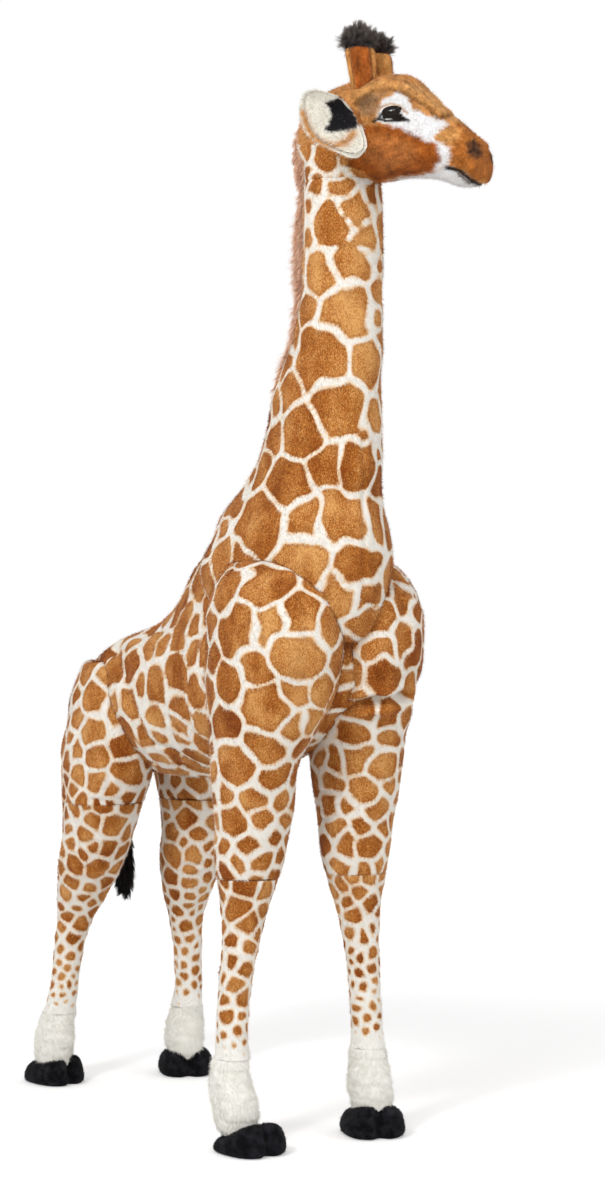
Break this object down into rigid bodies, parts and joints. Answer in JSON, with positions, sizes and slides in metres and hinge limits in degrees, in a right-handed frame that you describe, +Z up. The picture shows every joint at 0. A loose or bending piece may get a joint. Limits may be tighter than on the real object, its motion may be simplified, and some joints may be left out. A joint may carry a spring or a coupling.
{
  "type": "standing plush giraffe",
  "caption": "Large standing plush giraffe with patterned fur, long neck, turning head, soft ears, tufted horns and tail, and black hooves, held up by an inner steel frame.",
  "frame": {"origin": "on the floor, under the middle of the figure's box", "axes": "+Z up, the giraffe faces -Y, +X to its own left"},
  "size_m": [0.274, 0.8072, 1.3374],
  "materials": {
    "patterned_fur": "short plush, brown patches with golden flecks between cream lines",
    "cream_fur": "short cream plush",
    "black_fur": "black plush, short on the hooves and long on the tufts",
    "mane_fur": "long dusty red-brown pile",
    "filling": "white fibre filling",
    "steel": "plain steel rod and tube",
    "eye_plastic": "glossy black",
    "washer_plastic": "pale nylon"
  },
  "bodies": {
    "root": {"spine_tube": "steel", "front_crossbar": "steel", "hind_crossbar": "steel", "neck_rod": "steel", "front_right_leg_rod": "steel", "front_right_foot_plate": "steel", "front_right_sock": "cream_fur", "front_right_lower_leg_cover": "patterned_fur", "front_right_upper_leg_cover": "patterned_fur", "front_right_leg_filling": "filling", "front_right_hoof": "black_fur", "front_left_leg_rod": "steel", "front_left_foot_plate": "steel", "front_left_sock": "cream_fur", "front_left_lower_leg_cover": "patterned_fur", "front_left_upper_leg_cover": "patterned_fur", "front_left_leg_filling": "filling", "front_left_hoof": "black_fur", "hind_right_leg_rod": "steel", "hind_right_foot_plate": "steel", "hind_right_sock": "cream_fur", "hind_right_lower_leg_cover": "patterned_fur", "hind_right_upper_leg_cover": "patterned_fur", "hind_right_leg_filling": "filling", "hind_right_hoof": "black_fur", "hind_left_leg_rod": "steel", "hind_left_foot_plate": "steel", "hind_left_sock": "cream_fur", "hind_left_lower_leg_cover": "patterned_fur", "hind_left_upper_leg_cover": "patterned_fur", "hind_left_leg_filling": "filling", "hind_left_hoof": "black_fur", "torso_cover": "patterned_fur", "torso_filling": "filling", "neck_cover": "patterned_fur", "neck_filling": "filling", "mane": "mane_fur"},
    "head": {"head_cover": "patterned_fur", "head_filling": "filling", "mane_crest": "mane_fur", "right_horn_cover": "patterned_fur", "right_horn_filling": "filling", "right_horn_tuft": "black_fur", "right_eye": "eye_plastic", "right_eye_washer": "washer_plastic", "left_horn_cover": "patterned_fur", "left_horn_filling": "filling", "left_horn_tuft": "black_fur", "left_eye": "eye_plastic", "left_eye_washer": "washer_plastic"},
    "right_ear": {"right_ear_back": "cream_fur", "right_ear_lining": "cream_fur"},
    "left_ear": {"left_ear_back": "cream_fur", "left_ear_lining": "cream_fur"},
    "tail_root": {"tail_root": "patterned_fur"},
    "tail": {"tail_cover": "patterned_fur", "tail_filling": "filling", "tail_tuft": "black_fur"}
  },
  "joints": [
    {"name": "head_turn", "type": "hinge", "parent": "root", "child": "head", "pos_m": [0, -0.2291, 1.1504], "axis": [0, 0, 1], "range_deg": [-58, 10]},
    {"name": "right_ear_flop", "type": "hinge", "parent": "head", "child": "right_ear", "pos_m": [-0.02048, -0.29732, 1.22241], "axis": [0.1619, 0.0886, 0.9828], "range_deg": [-20, 20], "stiffness_Nm_per_rad": 0.05},
    {"name": "left_ear_flop", "type": "hinge", "parent": "head", "child": "left_ear", "pos_m": [0.06851, -0.2486, 1.22241], "axis": [-0.1619, -0.0886, 0.9828], "range_deg": [-20, 20], "stiffness_Nm_per_rad": 0.05},
    {"name": "tail_lift", "type": "hinge", "parent": "root", "child": "tail_root", "pos_m": [0, 0.3543, 0.54], "axis": [1, 0, 0], "range_deg": [0, 60]},
    {"name": "tail_sway", "type": "hinge", "parent": "tail_root", "child": "tail", "pos_m": [0, 0.3543, 0.54], "axis": [0, 1, 0], "range_deg": [-5, 5]}
  ]
}
